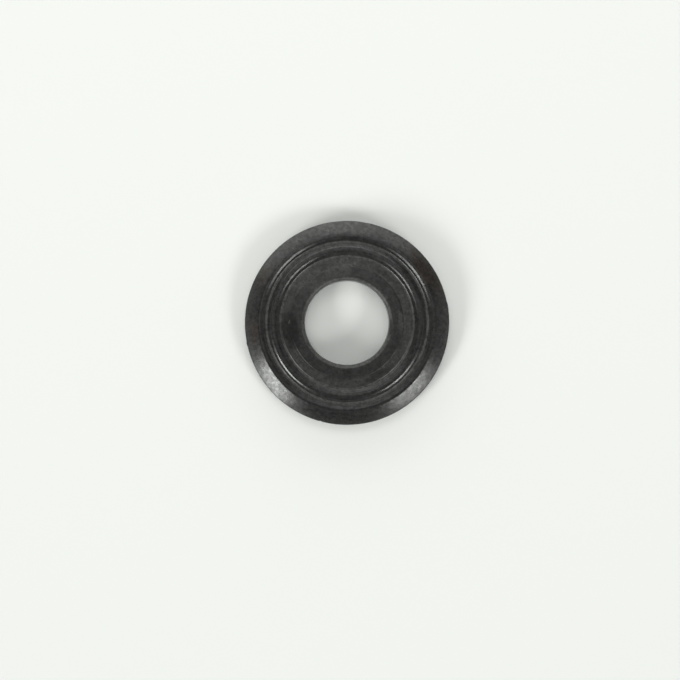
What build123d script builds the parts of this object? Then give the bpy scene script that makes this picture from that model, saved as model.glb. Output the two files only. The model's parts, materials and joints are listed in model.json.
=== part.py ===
from build123d import *
import os
from math import radians, tan

# Valve cover bolt seal: one moulded rubber ring that sits round a bolt, under the bolt's head.
# Millimetres, +Z up. The origin is the middle of the flat underside, and Z is the axis of the bore.
# The face is moulded as round bands. Their widths are radial, and each band starts where the one
# inside it ends, from the bore out to the rim.

# Heights above the flat underside
HEIGHT = 2.2  # crests of both ribs, the highest points of the ring
RIM_HEIGHT = 1.2  # upright wall of the rim, under the bevel

# Small level changes on the face
CHANNEL_DEPTH = 0.07  # narrow channels, one in the trough between the ribs and one round the seat
COLLAR_STEP = 0.05  # step up from the seat to the collar
COLLAR_RISE = 0.09  # slow rise of the collar from that step to the bore

# Widths of the bands, from the bore outwards
BORE_DIAMETER = 9.5
COLLAR_WIDTH = 1.53
SEAT_WIDTH = 0.93  # flat that the bolt's washer face presses on
CHANNEL_FLOOR_WIDTH = 0.17
INNER_LAND_WIDTH = 0.28  # easy slope inside the inner rib
STEP_WIDTH = 0.19  # steep side of a rib
INNER_RIB_WIDTH = 0.36
TROUGH_LAND_WIDTH = 0.24  # easy slope between the ribs, one each side of the channel
OUTER_RIB_WIDTH = 0.28
BEVEL_WIDTH = 1.59

# Slopes, measured from the horizontal
STEP_ANGLE = 34.5
LAND_ANGLE = 16.0
CHANNEL_ANGLE = 40.0  # walls of the channels, and the step up to the collar

# Radii that blend the corners of the section
MOUTH_RADIUS = 0.4  # from the wall of the bore to the collar
CREST_RADIUS = 0.2
SHARP = 0.0


def fall(width, angle):
    """Height that a slope loses over its radial width."""
    return width * tan(radians(angle))


def run(rise, angle):
    """Radial width that a slope takes up to climb by rise."""
    return rise / tan(radians(angle))


# Levels
step_foot = HEIGHT - fall(STEP_WIDTH, STEP_ANGLE)
trough = step_foot - fall(TROUGH_LAND_WIDTH, LAND_ANGLE)
trough_channel = trough - CHANNEL_DEPTH
seat = step_foot - fall(INNER_LAND_WIDTH, LAND_ANGLE)
seat_channel = seat - CHANNEL_DEPTH
collar_foot = seat + COLLAR_STEP
collar_top = collar_foot + COLLAR_RISE

# Radii, from the bore outwards
bore = BORE_DIAMETER / 2
channel_wall = run(CHANNEL_DEPTH, CHANNEL_ANGLE)
collar_outside = bore + COLLAR_WIDTH
seat_inside = collar_outside + run(COLLAR_STEP, CHANNEL_ANGLE)
seat_outside = seat_inside + SEAT_WIDTH
seat_channel_inside = seat_outside + channel_wall
seat_channel_outside = seat_channel_inside + CHANNEL_FLOOR_WIDTH
inner_land = seat_channel_outside + channel_wall
inner_foot = inner_land + INNER_LAND_WIDTH
inner_rib_inside = inner_foot + STEP_WIDTH
inner_rib_outside = inner_rib_inside + INNER_RIB_WIDTH
trough_inside = inner_rib_outside + STEP_WIDTH
trough_channel_top_inside = trough_inside + TROUGH_LAND_WIDTH
trough_channel_inside = trough_channel_top_inside + channel_wall
trough_channel_outside = trough_channel_inside + CHANNEL_FLOOR_WIDTH
trough_channel_top_outside = trough_channel_outside + channel_wall
trough_outside = trough_channel_top_outside + TROUGH_LAND_WIDTH
outer_rib_inside = trough_outside + STEP_WIDTH
outer_rib_outside = outer_rib_inside + OUTER_RIB_WIDTH
rim = outer_rib_outside + BEVEL_WIDTH

# Corners of half the section as (radius, height), each with the radius that blends it.
# They run over the face from the bore to the rim, and back along the underside.
corners = [
    ((bore, 0), SHARP),
    ((bore, collar_top), MOUTH_RADIUS),
    ((collar_outside, collar_foot), SHARP),
    ((seat_inside, seat), SHARP),
    ((seat_outside, seat), SHARP),
    ((seat_channel_inside, seat_channel), SHARP),
    ((seat_channel_outside, seat_channel), SHARP),
    ((inner_land, seat), SHARP),
    ((inner_foot, step_foot), SHARP),
    ((inner_rib_inside, HEIGHT), CREST_RADIUS),
    ((inner_rib_outside, HEIGHT), CREST_RADIUS),
    ((trough_inside, step_foot), SHARP),
    ((trough_channel_top_inside, trough), SHARP),
    ((trough_channel_inside, trough_channel), SHARP),
    ((trough_channel_outside, trough_channel), SHARP),
    ((trough_channel_top_outside, trough), SHARP),
    ((trough_outside, step_foot), SHARP),
    ((outer_rib_inside, HEIGHT), CREST_RADIUS),
    ((outer_rib_outside, HEIGHT), CREST_RADIUS),
    ((rim, RIM_HEIGHT), SHARP),
    ((rim, 0), SHARP),
]

with BuildPart() as seal:
    with BuildSketch(Plane.XZ):
        with BuildLine():
            points = [point for point, _ in corners]
            blends = [blend for _, blend in corners]
            FilletPolyline(*points, radius=blends, close=True)
        make_face()
    revolve(axis=Axis.Z)

seal.part.label = "seal"

os.makedirs("parts", exist_ok=True)
export_step(seal.part, "parts/seal.step")
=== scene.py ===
import json
import math

import bpy
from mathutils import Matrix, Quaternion, Vector


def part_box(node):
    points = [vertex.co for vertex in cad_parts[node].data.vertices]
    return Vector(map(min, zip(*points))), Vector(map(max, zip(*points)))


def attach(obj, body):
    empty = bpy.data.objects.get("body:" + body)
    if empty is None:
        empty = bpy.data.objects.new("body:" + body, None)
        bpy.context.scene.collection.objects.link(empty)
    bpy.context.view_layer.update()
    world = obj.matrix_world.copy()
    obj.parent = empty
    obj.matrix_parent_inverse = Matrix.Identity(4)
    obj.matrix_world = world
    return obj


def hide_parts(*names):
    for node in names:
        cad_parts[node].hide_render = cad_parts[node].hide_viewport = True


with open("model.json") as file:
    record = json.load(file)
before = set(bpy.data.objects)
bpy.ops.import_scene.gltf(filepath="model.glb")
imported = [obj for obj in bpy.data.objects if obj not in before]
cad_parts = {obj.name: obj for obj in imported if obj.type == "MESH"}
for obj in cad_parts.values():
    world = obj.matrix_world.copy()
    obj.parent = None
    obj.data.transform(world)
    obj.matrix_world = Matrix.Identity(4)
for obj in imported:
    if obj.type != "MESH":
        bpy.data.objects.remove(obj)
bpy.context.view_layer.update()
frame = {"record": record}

MM = 0.001  # the named sizes below are millimetres, and every Blender length is metres

# ----------------------------------------------------------------------------------------------
# The frame: what the CAD says
# ----------------------------------------------------------------------------------------------
seal_low, seal_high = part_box("seal")
mounts = {mount["name"]: mount for mount in frame["record"]["mounts"]}

RIM = (seal_high.x - seal_low.x) / 2 / MM
HEIGHT = (seal_high.z - seal_low.z) / MM
BORE = mounts["bore"]["dims"]["r_mm"]

# ----------------------------------------------------------------------------------------------
# Camera: it looks straight down, from a little left of the ring's axis and nearer the viewer
# ----------------------------------------------------------------------------------------------
CAMERA_HEIGHT = 110.0
VIEW_WIDTH = 77.44  # of the table, across the picture
CAMERA_X = -0.775
CAMERA_Y = -1.93
SENSOR = 36.0


def make_camera():
    data = bpy.data.cameras.new("camera")
    data.sensor_width = SENSOR
    data.lens = SENSOR * CAMERA_HEIGHT / VIEW_WIDTH
    data.clip_start, data.clip_end = 0.01, 20.0
    camera = bpy.data.objects.new("camera", data)
    camera.location = (CAMERA_X * MM, CAMERA_Y * MM, CAMERA_HEIGHT * MM)
    bpy.context.scene.collection.objects.link(camera)
    bpy.context.scene.camera = camera


# ----------------------------------------------------------------------------------------------
# Section of the ring, in millimetres: the CAD's levels and bands, from the bore outwards
# ----------------------------------------------------------------------------------------------
RIM_HEIGHT = 1.2
CHANNEL_DEPTH = 0.07
COLLAR_STEP = 0.05
COLLAR_RISE = 0.09
COLLAR_WIDTH = 1.53
SEAT_WIDTH = 0.93
CHANNEL_FLOOR_WIDTH = 0.17
INNER_LAND_WIDTH = 0.28
STEP_WIDTH = 0.19
OUTER_STEP_WIDTH = 0.24  # inward side of the outer rib, a little wider and steeper than in the CAD
INNER_RIB_WIDTH = 0.36
TROUGH_LAND_WIDTH = 0.24
OUTER_RIB_WIDTH = 0.28
STEP_ANGLE = math.radians(34.5)
OUTER_STEP_ANGLE = math.radians(35.5)
LAND_ANGLE = math.radians(16)
CHANNEL_ANGLE = math.radians(40)
COLLAR_STEP_ANGLE = math.radians(28)  # softer than in the CAD, about the same middle

# Rounded corners, most of them sharp in the CAD, a slight crown on the bevel, and the parting
# line that two mould halves leave round the rim
MOUTH_RADIUS = 0.4
CREST_RADIUS = 0.15
BEVEL_EDGE_RADIUS = 0.3
FOOT_RADIUS = 0.12
ROOT_RADIUS = 0.1
SMALL_RADIUS = 0.06
SEAT_STEP_RADIUS = 0.18
EDGE_RADIUS = 0.15
CROWN_RADIUS = 17.0
BEVEL_CROWN = 0.05
PARTING_HEIGHT = 0.6
PARTING_WIDTH = 0.12
PARTING_STANDS = 0.03
PARTING_RADIUS = 0.03

# How finely the ring is cut into flat faces
AROUND = 600  # sections round the ring
ARC_STEP = math.radians(9)  # about the turn between two points of a rounded corner
LONGEST_STEP = 0.5  # between two points of a straight run


def section_corners():
    """Corners of half the section as (radius, height, blend), over the face and back underneath."""
    step_foot = HEIGHT - STEP_WIDTH * math.tan(STEP_ANGLE)
    trough = step_foot - TROUGH_LAND_WIDTH * math.tan(LAND_ANGLE)
    seat = step_foot - INNER_LAND_WIDTH * math.tan(LAND_ANGLE)
    collar_foot = seat + COLLAR_STEP
    wall = CHANNEL_DEPTH / math.tan(CHANNEL_ANGLE)
    seat_in = BORE + COLLAR_WIDTH + COLLAR_STEP / math.tan(CHANNEL_ANGLE)
    seat_out = seat_in + SEAT_WIDTH
    step_middle = (BORE + COLLAR_WIDTH + seat_in) / 2
    step_half = COLLAR_STEP / math.tan(COLLAR_STEP_ANGLE) / 2
    seat_channel_in = seat_out + wall
    seat_channel_out = seat_channel_in + CHANNEL_FLOOR_WIDTH
    inner_land = seat_channel_out + wall
    inner_foot = inner_land + INNER_LAND_WIDTH
    inner_rib_in = inner_foot + STEP_WIDTH
    inner_rib_out = inner_rib_in + INNER_RIB_WIDTH
    trough_in = inner_rib_out + STEP_WIDTH
    channel_top_in = trough_in + TROUGH_LAND_WIDTH
    channel_in = channel_top_in + wall
    channel_out = channel_in + CHANNEL_FLOOR_WIDTH
    channel_top_out = channel_out + wall
    outer_rib_in = channel_top_out + TROUGH_LAND_WIDTH + STEP_WIDTH
    trough_out = outer_rib_in - OUTER_STEP_WIDTH
    outer_step_foot = HEIGHT - OUTER_STEP_WIDTH * math.tan(OUTER_STEP_ANGLE)
    outer_rib_out = outer_rib_in + OUTER_RIB_WIDTH
    return [
        (BORE, 0, EDGE_RADIUS),
        (BORE, collar_foot + COLLAR_RISE, MOUTH_RADIUS),
        (step_middle - step_half, collar_foot, SEAT_STEP_RADIUS),
        (step_middle + step_half, seat, SEAT_STEP_RADIUS),
        (seat_out, seat, SMALL_RADIUS),
        (seat_channel_in, seat - CHANNEL_DEPTH, SMALL_RADIUS),
        (seat_channel_out, seat - CHANNEL_DEPTH, ROOT_RADIUS),
        (inner_land, seat, SMALL_RADIUS),
        (inner_foot, step_foot, FOOT_RADIUS),
        (inner_rib_in, HEIGHT, CREST_RADIUS),
        (inner_rib_out, HEIGHT, CREST_RADIUS),
        (trough_in, step_foot, FOOT_RADIUS),
        (channel_top_in, trough, SMALL_RADIUS),
        (channel_in, trough - CHANNEL_DEPTH, ROOT_RADIUS),
        (channel_out, trough - CHANNEL_DEPTH, ROOT_RADIUS),
        (channel_top_out, trough, SMALL_RADIUS),
        (trough_out, outer_step_foot, FOOT_RADIUS),
        (outer_rib_in, HEIGHT, CREST_RADIUS),
        (outer_rib_out, HEIGHT, BEVEL_EDGE_RADIUS),
        ((RIM + outer_rib_out) / 2, (RIM_HEIGHT + HEIGHT) / 2 + BEVEL_CROWN, CROWN_RADIUS),
        (RIM, RIM_HEIGHT, EDGE_RADIUS),
        (RIM, PARTING_HEIGHT + PARTING_WIDTH / 2, PARTING_RADIUS),
        (RIM + PARTING_STANDS, PARTING_HEIGHT, PARTING_RADIUS),
        (RIM, PARTING_HEIGHT - PARTING_WIDTH / 2, PARTING_RADIUS),
        (RIM, 0, EDGE_RADIUS),
    ]


def blended_section():
    """The closed outline as (radius, height) points: straight runs cut short, corners as arcs."""
    corners = section_corners()
    arcs = []
    for i, (r, z, blend) in enumerate(corners):
        here = Vector((r, z))
        before = (Vector(corners[i - 1][:2]) - here).normalized()
        after = (Vector(corners[(i + 1) % len(corners)][:2]) - here).normalized()
        half = before.angle(after) / 2
        reach = blend / math.tan(half)
        turn = math.pi - 2 * half
        centre = here + (before + after).normalized() * blend / math.sin(half)
        start = here + before * reach - centre
        sign = 1 if start.cross(here + after * reach - centre) > 0 else -1
        steps = max(2, round(turn / ARC_STEP))
        arc = []
        for k in range(steps + 1):
            a = sign * turn * k / steps
            spun = Vector((start.x * math.cos(a) - start.y * math.sin(a),
                           start.x * math.sin(a) + start.y * math.cos(a)))
            arc.append(centre + spun)
        arcs.append(arc)
    outline = []
    for i, arc in enumerate(arcs):
        outline += arc
        gap = arcs[(i + 1) % len(arcs)][0] - arc[-1]
        cuts = int(gap.length / LONGEST_STEP)
        outline += [arc[-1] + gap * k / (cuts + 1) for k in range(1, cuts + 1)]
    return outline


# Where the trimmed edge runs out of true: (from, to) in degrees and (from, to) in millimetres
EDGE_RUNS = [
    (-12, 10, 0.0, 0.06),
    (10, 12, 0.06, 0.02),
    (12, 45, 0.02, 0.0),
    (190.5, 191.5, 0.0, 0.05),
    (191.5, 192.5, 0.05, 0.05),
    (192.5, 193.5, 0.05, 0.0),
    (254, 255, 0.0, -0.05),
    (255, 256, -0.05, 0.0),
]
EDGE_DEPTH = 0.5  # how far in from the rim the edge's shape is felt


def edge_offset(degrees):
    """How far the rim stands out of its circle at this angle."""
    for start, end, before, after in EDGE_RUNS:
        share = ((degrees - start) % 360) / (end - start)
        if share <= 1:
            return before + (after - before) * share
    return 0.0


def make_seal():
    outline = blended_section()
    count = len(outline)
    pull = [max(0.0, 1 - (RIM - p.x) / EDGE_DEPTH) for p in outline]
    vertices = []
    for j in range(AROUND):
        degrees = 360 * j / AROUND
        offset = edge_offset(degrees)
        c, s = math.cos(math.radians(degrees)), math.sin(math.radians(degrees))
        for p, share in zip(outline, pull):
            r = (p.x + share * offset) * MM
            vertices.append((r * c, r * s, p.y * MM))
    faces = []
    for j in range(AROUND):
        a, b = j * count, (j + 1) % AROUND * count
        for i in range(count):
            k = (i + 1) % count
            faces.append((a + i, a + k, b + k, b + i))
    mesh = bpy.data.meshes.new("seal_ring")
    mesh.from_pydata(vertices, [], faces)
    mesh.polygons.foreach_set("use_smooth", [True] * len(mesh.polygons))
    mesh.update()
    piece = bpy.data.objects.new("seal_ring", mesh)
    bpy.context.scene.collection.objects.link(piece)
    return piece


# ----------------------------------------------------------------------------------------------
# Materials
# ----------------------------------------------------------------------------------------------
BARE = (0.0086, 0.0087, 0.0084, 1)  # clean black rubber
WARM = (0.0185, 0.0125, 0.0098, 1)  # where the rubber has browned a little
DUST_AND_PAINTED_LIGHT = (0.06, 0.0605, 0.0565, 1)  # pale film that settles in corners, and the colour of the painted highlights and painted light in some patches
BARE_ROUGH = 0.29
DUST_AND_PAINTED_LIGHT_ROUGH = 0.55
PRESSED_ROUGH = 0.42  # on the collar and the seat, where the bolt's washer face bears
PRESSED_BAND = (5.05, 7.45, 0.08)  # inside radius, outside radius, softness
SKIN_ROUGH = (BARE_ROUGH - 0.03, BARE_ROUGH + 0.05)  # blotches of the clean skin
RUBBER_IOR = 1.5
DARKER_PATCH_SHINE = 0.45  # share of the shine left in the middle of a darker patch, some of which are painted shade
FACE_TURN = (0.05, 0.3)  # upward part of the normal over which the film and the painted patches set in

# Heights of the relief, in millimetres
DIMPLE_HEIGHT = 0.007
GRAIN_HEIGHT = 0.0012
TURNED_HEIGHT = 0.002  # turning marks of the mould

STREAKS_AROUND = 4.0  # faint streaks that run round the ring, per radian
STREAKS_ACROSS = 4.5  # and per millimetre of radius
STREAK_FILM = 0.12  # film that the strongest streak carries
DRIFT = 1.05  # range, in millimetres, over which noise moves the outline of a patch

# Noises: (scale per millimetre, detail, roughness)
STREAK_NOISE = (1.0, 3.0, 0.6)
DRIFT_NOISE = (1.6, 3.0, 0.6)
SHINE_NOISE = (2.2, 3.0, 0.7)
CLOUD_NOISE = (0.9, 4.0, 0.6)
GRIT_NOISE = (3.4, 2.0, 0.6)
BROWN_NOISE = (1.1, 2.0, 0.55)
MOTTLE_NOISE = (2.6, 3.0, 0.6)
SKIN_NOISE = (2.4, 4.0, 0.65)
DIMPLE_NOISE = (1.8, 2.0, 0.5)
GRAIN_NOISE = (9.0, 2.0, 0.6)

# Parts of a noise's range that are spread over a result
MIDTONES = (0.3, 0.7)
SHINE_TONES = (0.33, 0.67)
STREAK_TONES = (0.35, 0.75)

# Results, from a noise's dark parts to its light ones
CLOUDS = (0.65, 1.35)  # times the film
GRIT = (0.45, 1.55)  # times the film
BROWNING = (0.5, 1.2)  # times the stains
MOTTLE = (0.5, 1.5)  # times the black
SHINE = (0.64, 0.36)  # strength of the mirror image

# Paler bands on the face: (inside radius, outside radius, softness, strength): a paler band round the
# bore's mouth, then film on the seat, in the two channels and at the rim
FILM_BANDS = [
    (4.7, 5.1, 0.06, 0.68),
    (6.4, 7.3, 0.08, 0.25),
    (7.3, 7.56, 0.05, 0.75),
    (8.9, 9.16, 0.05, 0.78),
    (11.0, 11.7, 0.25, 0.13),
]
# Patches on the face: (angle, radius, length, width, strength). Above 0 paler in the film's colour,
# below 0 darker and duller. Some are painted highlights, painted light and painted shade, as marked.
PATCHES = [
    # painted reflection: a darker, duller patch on the collar and seat in the west, for the camera's
    # dark reflection
    (188, 6.4, 4.4, 2.2, -0.85),
    (302, 6.8, 4.6, 0.75, -0.5),
    (180, 6.37, 0.5, 0.25, 0.5),
    (309, 6.35, 0.3, 0.28, 0.9),
    (2, 5.93, 2.8, 0.6, 0.35),
    # painted light: paler patches on the collar and seat on the north side, where the northern lamps
    # light them
    (112, 5.8, 7.0, 2.3, 0.24),
    (88, 6.8, 2.2, 1.2, 0.16),
    # painted shade: a darker patch on the mouth's east side
    (353, 4.9, 2.0, 0.6, -0.5),
    # painted highlights: paler patches on the mouth where the two key lamps shine
    (38, 4.95, 2.0, 0.6, 0.3),
    (142, 4.95, 2.4, 0.6, 0.3),
    (50, 6.9, 2.6, 0.6, -0.45),
]
# Where the bevel has browned: (angle, radius, length, width)
STAINS = [
    (35, 10.5, 7.5, 1.8),
    (186, 10.6, 3.4, 1.4),
    (150, 10.7, 3.0, 1.2),
]
PATCH_EDGE = (1.25, 0.6)  # where a patch has faded out and where it is full, in half sizes of it
PATCH_DEPTH = 1000.0  # so that a patch doesn't depend on the height


class Graph:
    """Short names for the nodes of one material."""

    def __init__(self, material):
        self.nodes = material.node_tree.nodes
        self.links = material.node_tree.links

    def feed(self, socket, value):
        if isinstance(value, bpy.types.NodeSocket):
            self.links.new(value, socket)
        else:
            socket.default_value = value

    def math(self, operation, a, b=0.0, clamp=False):
        node = self.nodes.new("ShaderNodeMath")
        node.operation = operation
        node.use_clamp = clamp
        self.feed(node.inputs[0], a)
        self.feed(node.inputs[1], b)
        return node.outputs["Value"]

    def vector(self, operation, a, b=(0, 0, 0), output="Vector"):
        node = self.nodes.new("ShaderNodeVectorMath")
        node.operation = operation
        self.feed(node.inputs[0], a)
        self.feed(node.inputs[1], b)
        return node.outputs[output]

    def ramp(self, value, low, high, out_low=0.0, out_high=1.0):
        node = self.nodes.new("ShaderNodeMapRange")
        node.interpolation_type = "SMOOTHSTEP"
        self.feed(node.inputs["Value"], value)
        node.inputs["From Min"].default_value = low
        node.inputs["From Max"].default_value = high
        node.inputs["To Min"].default_value = out_low
        node.inputs["To Max"].default_value = out_high
        return node.outputs["Result"]

    def noise(self, place, scale, detail, roughness, output="Fac"):
        node = self.nodes.new("ShaderNodeTexNoise")
        self.feed(node.inputs["Vector"], place)
        node.inputs["Scale"].default_value = scale
        node.inputs["Detail"].default_value = detail
        node.inputs["Roughness"].default_value = roughness
        return node.outputs[output]

    def mix(self, factor, a, b, kind="RGBA"):
        """Blend of two colours or, if kind is VALUE, of two numbers: the node has sockets of both."""
        node = self.nodes.new("ShaderNodeMix")
        node.data_type = "RGBA" if kind == "RGBA" else "FLOAT"
        self.feed(node.inputs["Factor"], factor)
        for name, value in (("A", a), ("B", b)):
            self.feed([s for s in node.inputs if s.name == name and s.type == kind][0], value)
        return [s for s in node.outputs if s.type == kind][0]

    def band(self, radius, inside, outside, soft):
        """1 on the ring between two radii, falling to 0 over a soft edge."""
        rise = self.ramp(radius, inside - soft, inside + soft)
        fall = self.ramp(radius, outside + soft, outside - soft)
        return self.math("MULTIPLY", rise, fall)

    def patch(self, place, angle, radius, length, width):
        """1 in the middle of a long patch that lies along the ring, falling to 0 at its edge."""
        node = self.nodes.new("ShaderNodeMapping")
        node.vector_type = "TEXTURE"
        a = math.radians(angle)
        node.inputs["Location"].default_value = (radius * math.cos(a), radius * math.sin(a), 0)
        node.inputs["Rotation"].default_value = (0, 0, a)
        node.inputs["Scale"].default_value = (width / 2, length / 2, PATCH_DEPTH)
        self.feed(node.inputs["Vector"], place)
        away = self.vector("LENGTH", node.outputs["Vector"], output="Value")
        return self.ramp(away, *PATCH_EDGE)


class Places:
    """Where a point of the ring lies, in millimetres, and whether it is on the face.

    level is its place seen from above, and wandered is that place moved a little by noise.
    """

    def __init__(self, g):
        self.solid = g.vector("SCALE", g.nodes.new("ShaderNodeTexCoord").outputs["Object"])
        self.solid.node.inputs["Scale"].default_value = 1 / MM
        self.level = g.vector("MULTIPLY", self.solid, (1, 1, 0))
        self.radius = g.vector("LENGTH", self.level, output="Value")

        normal = g.nodes.new("ShaderNodeSeparateXYZ")
        g.feed(normal.inputs["Vector"], g.nodes.new("ShaderNodeNewGeometry").outputs["Normal"])
        self.on_face = g.ramp(normal.outputs["Z"], *FACE_TURN)

        turned = g.vector("NORMALIZE", self.level)
        around = g.vector("MULTIPLY", turned, (STREAKS_AROUND, STREAKS_AROUND, 0))
        across = g.nodes.new("ShaderNodeCombineXYZ")
        g.feed(across.inputs["Z"], g.math("MULTIPLY", self.radius, STREAKS_ACROSS))
        streaks = g.vector("ADD", around, across.outputs["Vector"])
        self.streak = g.noise(streaks, *STREAK_NOISE)

        drift = g.noise(self.solid, *DRIFT_NOISE, output="Color")
        drift = g.vector("SUBTRACT", drift, (0.5, 0.5, 0.5))
        drift = g.vector("MULTIPLY", drift, (DRIFT, DRIFT, 0))
        self.wandered = g.vector("ADD", self.level, drift)


def film_painted_light_and_shine(g, at):
    """Film in the corners and on the seat, broken up, with paler and darker patches, some of them
    painted highlights, painted light and painted shade; and the shine.
    """
    film_and_painted_light = g.math("MULTIPLY", g.ramp(at.streak, *STREAK_TONES), STREAK_FILM)
    for inside, outside, soft, strength in FILM_BANDS:
        band = g.math("MULTIPLY", g.band(at.radius, inside, outside, soft), strength)
        film_and_painted_light = g.math("ADD", band, film_and_painted_light)
    shine = g.ramp(g.noise(at.solid, *SHINE_NOISE), *SHINE_TONES, *SHINE)
    # patches: film and specks, and painted highlights, painted light and painted shade
    for angle, middle, length, width, strength in PATCHES:
        mask = g.patch(at.wandered, angle, middle, length, width)
        if strength > 0:
            film_and_painted_light = g.math("ADD", film_and_painted_light, g.math("MULTIPLY", mask, strength))
        else:
            keep = g.math("MULTIPLY_ADD", mask, strength)
            keep.node.inputs[2].default_value = 1.0
            film_and_painted_light = g.math("MULTIPLY", film_and_painted_light, keep)
            shine = g.math("MULTIPLY", g.ramp(keep, 0.0, 1.0, DARKER_PATCH_SHINE, 1.0), shine)
    film_and_painted_light = g.math("MULTIPLY", film_and_painted_light, at.on_face)
    clouds = g.ramp(g.noise(at.solid, *CLOUD_NOISE), *MIDTONES, *CLOUDS)
    grit = g.ramp(g.noise(at.solid, *GRIT_NOISE), *MIDTONES, *GRIT)
    film_and_painted_light = g.math("MULTIPLY", film_and_painted_light, g.math("MULTIPLY", clouds, grit), True)
    return film_and_painted_light, shine


def skin_colour(g, at):
    """Mottled black, with a little brown in the stains."""
    stains = 0.0
    for angle, middle, length, width in STAINS:
        stains = g.math("ADD", stains, g.patch(at.wandered, angle, middle, length, width))
    browned = g.ramp(g.noise(at.solid, *BROWN_NOISE), *MIDTONES, *BROWNING)
    browned = g.math("MULTIPLY", browned, stains, True)
    mottle = g.ramp(g.noise(at.solid, *MOTTLE_NOISE), *MIDTONES, *MOTTLE)
    tone = g.nodes.new("ShaderNodeCombineXYZ")
    for axis in "XYZ":
        g.feed(tone.inputs[axis], mottle)
    return g.vector("MULTIPLY", g.mix(browned, BARE, WARM), tone.outputs["Vector"])


def skin_roughness(g, at, film_and_painted_light):
    """Blotches on the clean skin, matt film and painted patches over it, and a matt collar and seat.
    """
    skin = g.ramp(g.noise(at.solid, *SKIN_NOISE), *MIDTONES, *SKIN_ROUGH)
    rough = g.mix(film_and_painted_light, skin, DUST_AND_PAINTED_LIGHT_ROUGH, "VALUE")
    pressed = g.math("MULTIPLY", g.band(at.radius, *PRESSED_BAND), at.on_face)
    matt = g.math("MULTIPLY", g.math("SUBTRACT", PRESSED_ROUGH, rough), pressed)
    return g.math("ADD", rough, matt)


def skin_relief(g, at):
    """Dimples, grain and the turning marks of the mould, as a bumped normal."""
    dimples = g.math("MULTIPLY", g.noise(at.solid, *DIMPLE_NOISE), DIMPLE_HEIGHT)
    grain = g.math("MULTIPLY", g.noise(at.solid, *GRAIN_NOISE), GRAIN_HEIGHT)
    turned = g.math("MULTIPLY", at.streak, TURNED_HEIGHT)
    bump = g.nodes.new("ShaderNodeBump")
    bump.inputs["Strength"].default_value = 1.0
    bump.inputs["Distance"].default_value = MM
    g.feed(bump.inputs["Height"], g.math("ADD", g.math("ADD", dimples, grain), turned))
    return bump.outputs["Normal"]


def rubber():
    material = bpy.data.materials.new("moulded_rubber")
    material.use_nodes = True
    g = Graph(material)
    at = Places(g)
    film_and_painted_light, shine = film_painted_light_and_shine(g, at)
    shader = g.nodes["Principled BSDF"]
    shader.inputs["IOR"].default_value = RUBBER_IOR
    g.feed(shader.inputs["Base Color"], g.mix(film_and_painted_light, skin_colour(g, at), DUST_AND_PAINTED_LIGHT))
    g.feed(shader.inputs["Specular IOR Level"], shine)
    g.feed(shader.inputs["Roughness"], skin_roughness(g, at, film_and_painted_light))
    g.feed(shader.inputs["Normal"], skin_relief(g, at))
    return material


# ----------------------------------------------------------------------------------------------
# Floor
# ----------------------------------------------------------------------------------------------
FLOOR_PAINT = (0.889, 0.895, 0.882, 1)
FLOOR_ROUGH = 0.9
FLOOR_RADIUS = 200.0  # well short of the nearer lamps, which would overlight a larger floor
FLOOR_SIDES = 128


def floor_paint():
    material = bpy.data.materials.new("pale_floor")
    material.use_nodes = True
    shader = material.node_tree.nodes["Principled BSDF"]
    shader.inputs["Base Color"].default_value = FLOOR_PAINT
    shader.inputs["Roughness"].default_value = FLOOR_ROUGH
    shader.inputs["Specular IOR Level"].default_value = 0.0
    return material


def make_floor():
    """A plain round table top, which ends alike whichever way the camera looks."""
    turns = [2 * math.pi * i / FLOOR_SIDES for i in range(FLOOR_SIDES)]
    r = FLOOR_RADIUS * MM
    edge = [(r * math.cos(a), r * math.sin(a), 0) for a in turns]
    mesh = bpy.data.meshes.new("floor")
    mesh.from_pydata(edge, [], [tuple(range(FLOOR_SIDES))])
    floor = bpy.data.objects.new("floor", mesh)
    bpy.context.scene.collection.objects.link(floor)
    mesh.materials.append(floor_paint())


# ----------------------------------------------------------------------------------------------
# Light
# ----------------------------------------------------------------------------------------------
LIGHT_TINT = (0.98, 1.0, 0.968)
ROOM = 0.14  # brightness of the dim room that lights the ring and shows in it
BACKDROP = 0.88  # brightness of what the camera sees behind the floor


def softbox(name, azimuth, elevation, distance, width, height, share, roll=0.0, mirrored=True):
    """A lamp aimed at the ring from distance, in metres, and from angles in degrees.

    share is the part of a white table's light that comes from it.
    """
    data = bpy.data.lights.new(name, "AREA")
    data.shape = "RECTANGLE"
    data.size, data.size_y = width, height
    data.color = LIGHT_TINT
    a, e = math.radians(azimuth), math.radians(elevation)
    data.energy = share * math.pi ** 2 * distance ** 2 / math.sin(e)
    lamp = bpy.data.objects.new(name, data)
    direction = Vector((math.cos(a) * math.cos(e), math.sin(a) * math.cos(e), math.sin(e)))
    lamp.location = direction * distance
    lamp.rotation_mode = "QUATERNION"
    spin = Quaternion((0, 0, 1), math.radians(roll))
    lamp.rotation_quaternion = direction.to_track_quat("Z", "Y") @ spin
    lamp.visible_camera = False
    lamp.visible_glossy = mirrored
    bpy.context.scene.collection.objects.link(lamp)


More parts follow.
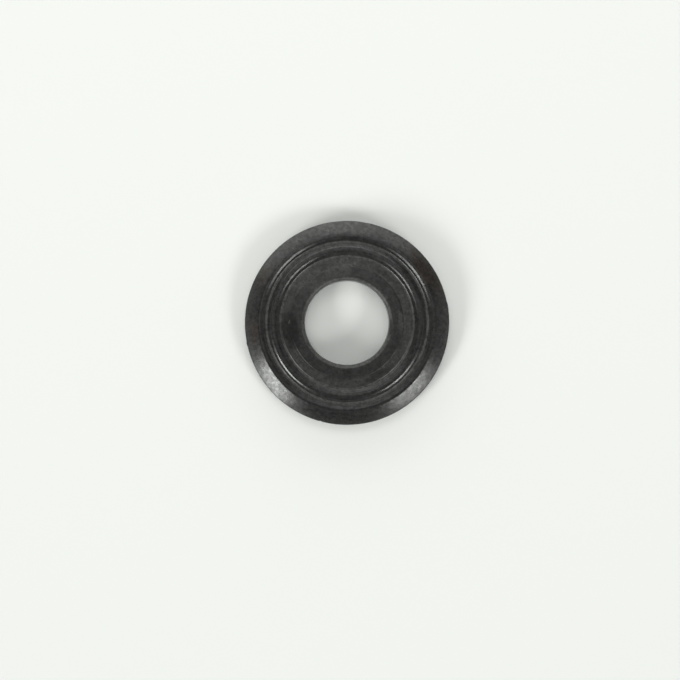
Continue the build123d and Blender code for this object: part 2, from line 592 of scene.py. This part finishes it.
def make_lamps():
    # Two large key lamps, which the bevel and the ribs' sides mirror
    softbox("key_left", 218.4, 21.5, 2.0, 0.86, 0.37, 0.252, roll=-24)
    softbox("key_right", 315.5, 25, 2.0, 0.88, 0.33, 0.195, roll=3)
    # Low and dimmer, round the other sides
    softbox("north_east", 63.5, 13.5, 0.6, 0.32, 0.19, 0.032)
    softbox("north", 92, 13.5, 0.6, 0.26, 0.2, 0.039)
    softbox("north_west", 126, 13.5, 0.6, 0.48, 0.19, 0.053)
    softbox("west", 172, 13, 0.6, 0.4, 0.18, 0.011)
    softbox("east", 0, 14, 0.6, 0.4, 0.2, 0.012)
    # Higher up, for the gentler slopes and the level bands
    softbox("over_north", 98, 52, 0.5, 0.46, 0.24, 0.195)
    softbox("top_north", 106, 79, 0.5, 0.2, 0.14, 0.055)
    softbox("over_east", 5, 62, 0.6, 0.3, 0.3, 0.03)
    softbox("over_south", 268, 50, 0.6, 0.3, 0.3, 0.034)
    # Fills that the rubber doesn't mirror
    softbox("fill_south", 268, 27, 2.0, 1.4, 0.5, 0.035, mirrored=False)
    softbox("overhead", 90, 88, 0.6, 0.3, 0.3, 0.02, mirrored=False)


def make_world():
    """A dim even room for the light, and a pale backdrop that only the camera sees."""
    world = bpy.data.worlds.new("studio")
    bpy.context.scene.world = world
    world.use_nodes = True
    nodes, links = world.node_tree.nodes, world.node_tree.links
    room = nodes["Background"]
    room.inputs["Color"].default_value = [ROOM * part for part in LIGHT_TINT] + [1]
    pale = nodes.new("ShaderNodeBackground")
    pale.inputs["Color"].default_value = (BACKDROP, BACKDROP, BACKDROP, 1)
    mix = nodes.new("ShaderNodeMixShader")
    links.new(nodes.new("ShaderNodeLightPath").outputs["Is Camera Ray"], mix.inputs["Fac"])
    links.new(room.outputs["Background"], mix.inputs[1])
    links.new(pale.outputs["Background"], mix.inputs[2])
    links.new(mix.outputs["Shader"], nodes["World Output"].inputs["Surface"])


# ----------------------------------------------------------------------------------------------
# The scene
# ----------------------------------------------------------------------------------------------
make_camera()
make_floor()
make_lamps()
make_world()
ring = make_seal()
ring.data.materials.append(rubber())
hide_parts("seal")
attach(ring, "root")

bpy.context.scene.view_settings.view_transform = "Standard"
